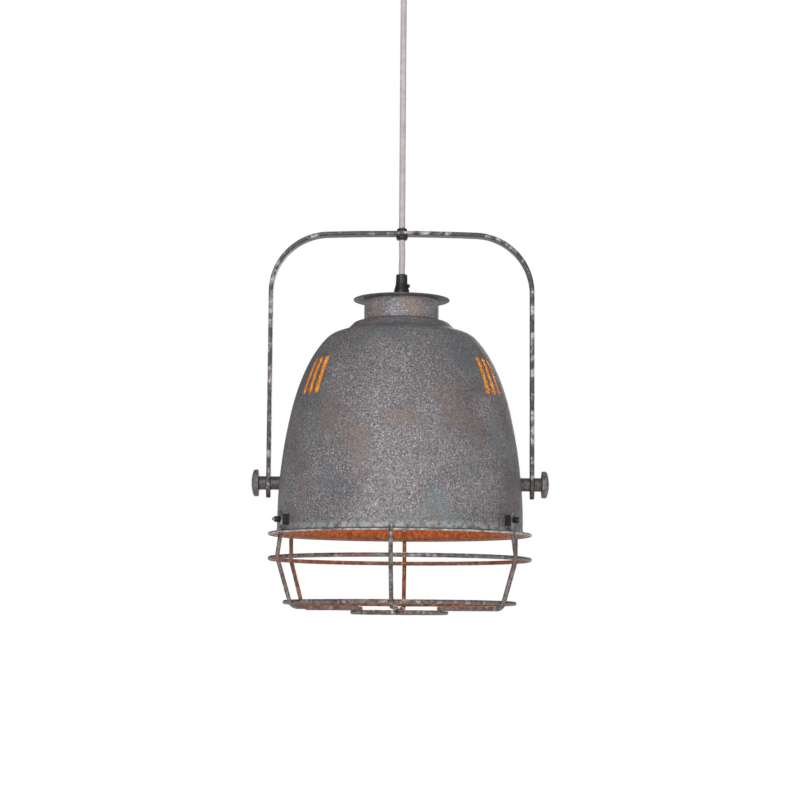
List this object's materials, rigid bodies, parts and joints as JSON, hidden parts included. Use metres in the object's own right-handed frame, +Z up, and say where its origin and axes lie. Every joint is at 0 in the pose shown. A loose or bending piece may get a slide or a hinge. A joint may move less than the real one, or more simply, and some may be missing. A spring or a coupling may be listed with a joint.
{
  "type": "pendant ceiling light",
  "caption": "Industrial pendant light: aged steel dome shade in a strap bail with turn knobs, a wire cage under the rim and vent slots, hung on its cord from a ceiling canopy.",
  "frame": {"origin": "centre of the ceiling face, on the top of the ceiling bracket", "axes": "+Z up out of the ceiling face along the hanging cord, +X to the right-hand knob along the shade's tilt axis, -Y the front"},
  "size_m": [0.3168, 0.2922, 0.74],
  "materials": {
    "shade_steel": "aged zinc grey outside and copper brown inside, mottled and lightly wrinkled",
    "neck_steel": "aged zinc grey, satin",
    "canopy_steel": "aged zinc grey, satin",
    "bail_steel": "dark grey brown with bare worn edges",
    "cage_steel": "aged zinc over rust, worn",
    "pivot_steel": "dark aged steel",
    "knob_steel": "aged steel, turned",
    "zinc_steel": "bright zinc plate",
    "black_plastic": "black moulded plastic, satin",
    "black_rubber": "black rubber, matt",
    "black_fixing": "black oxide steel, satin",
    "cord_jacket": "off-white flexible cord sheath, matt",
    "white_nylon": "natural nylon",
    "ceramic": "glazed white ceramic",
    "brass": "plain brass",
    "brown_wire": "brown insulation",
    "blue_wire": "blue insulation",
    "earth_wire": "green and yellow insulation",
    "bulb_glass": "frosted warm glass, lit",
    "bulb_metal": "bright spun metal",
    "bulb_stem": "clear glass stem and filament"
  },
  "bodies": {
    "ceiling": {"ceiling_bracket": "zinc_steel", "ceiling_canopy": "canopy_steel", "canopy_screws": "zinc_steel", "canopy_gland": "black_plastic", "canopy_gland_nut": "black_plastic", "terminal_block": "white_nylon", "terminal_screws": "brass", "cord_tail": "cord_jacket", "canopy_live_wire": "brown_wire", "canopy_neutral_wire": "blue_wire", "canopy_earth_wire": "earth_wire"},
    "swivel": {"cord_bush": "black_rubber"},
    "hanger": {"cord_upper": "cord_jacket", "cord_lower": "cord_jacket", "bail": "bail_steel", "bail_grommet": "black_rubber", "grommet_ring": "black_rubber"},
    "knob_left": {"knob_left": "knob_steel", "knob_collar_left": "pivot_steel"},
    "knob_right": {"knob_right": "knob_steel", "knob_collar_right": "pivot_steel"},
    "bulb": {"bulb_glass": "bulb_glass", "bulb_base": "bulb_metal", "bulb_contact": "bulb_metal", "bulb_stem": "bulb_stem"},
    "shade": {"shade_shell": "shade_steel", "neck_collar": "neck_steel", "neck_cap": "neck_steel", "cord_grip": "black_plastic", "cord_grip_screw": "black_plastic", "cap_nipple": "zinc_steel", "cap_nut": "zinc_steel", "cord_end": "cord_jacket", "lampholder_cap": "black_plastic", "lampholder_skirt": "black_plastic", "lampholder_core": "ceramic", "lampholder_screw_shell": "brass", "lampholder_centre_contact": "brass", "lamp_live_wire": "brown_wire", "lamp_neutral_wire": "blue_wire", "lamp_earth_wire": "earth_wire", "pivot_stud_left": "pivot_steel", "pivot_stud_right": "pivot_steel", "pivot_washer_left": "zinc_steel", "pivot_washer_right": "zinc_steel", "spacer_left": "pivot_steel", "spacer_right": "pivot_steel", "cage_mid_ring": "cage_steel", "cage_bottom_ring": "cage_steel", "cage_inner_ring": "cage_steel", "cage_rib_1": "cage_steel", "cage_rib_2": "cage_steel", "cage_rib_3": "cage_steel", "cage_rib_4": "cage_steel", "cage_rib_5": "cage_steel", "cage_rib_6": "cage_steel", "cage_blocks": "black_fixing", "cage_screws": "zinc_steel", "cage_nuts": "black_fixing"}
  },
  "joints": [
    {"name": "swing_sideways", "type": "hinge", "parent": "ceiling", "child": "swivel", "pos_m": [0, 0, -0.055], "axis": [0, 1, 0], "range_deg": [-15, 15]},
    {"name": "swing_front_back", "type": "hinge", "parent": "swivel", "child": "hanger", "pos_m": [0, 0, -0.055], "axis": [1, 0, 0], "range_deg": [-15, 15]},
    {"name": "shade_tilt", "type": "hinge", "parent": "hanger", "child": "shade", "pos_m": [0, 0, -0.6012], "axis": [1, 0, 0], "range_deg": [-15, 15], "deforming": ["cord_lower"]},
    {"name": "knob_left_turn", "type": "hinge", "parent": "shade", "child": "knob_left", "pos_m": [-0.1505, 0, -0.6012], "axis": [1, 0, 0], "range_deg": [0, 360]},
    {"name": "knob_right_turn", "type": "hinge", "parent": "shade", "child": "knob_right", "pos_m": [0.1505, 0, -0.6012], "axis": [-1, 0, 0], "range_deg": [0, 360]},
    {"name": "bulb_unscrew", "type": "slide", "parent": "shade", "child": "bulb", "axis": [0, 0, -1], "range_m": [0, 0.03]}
  ]
}
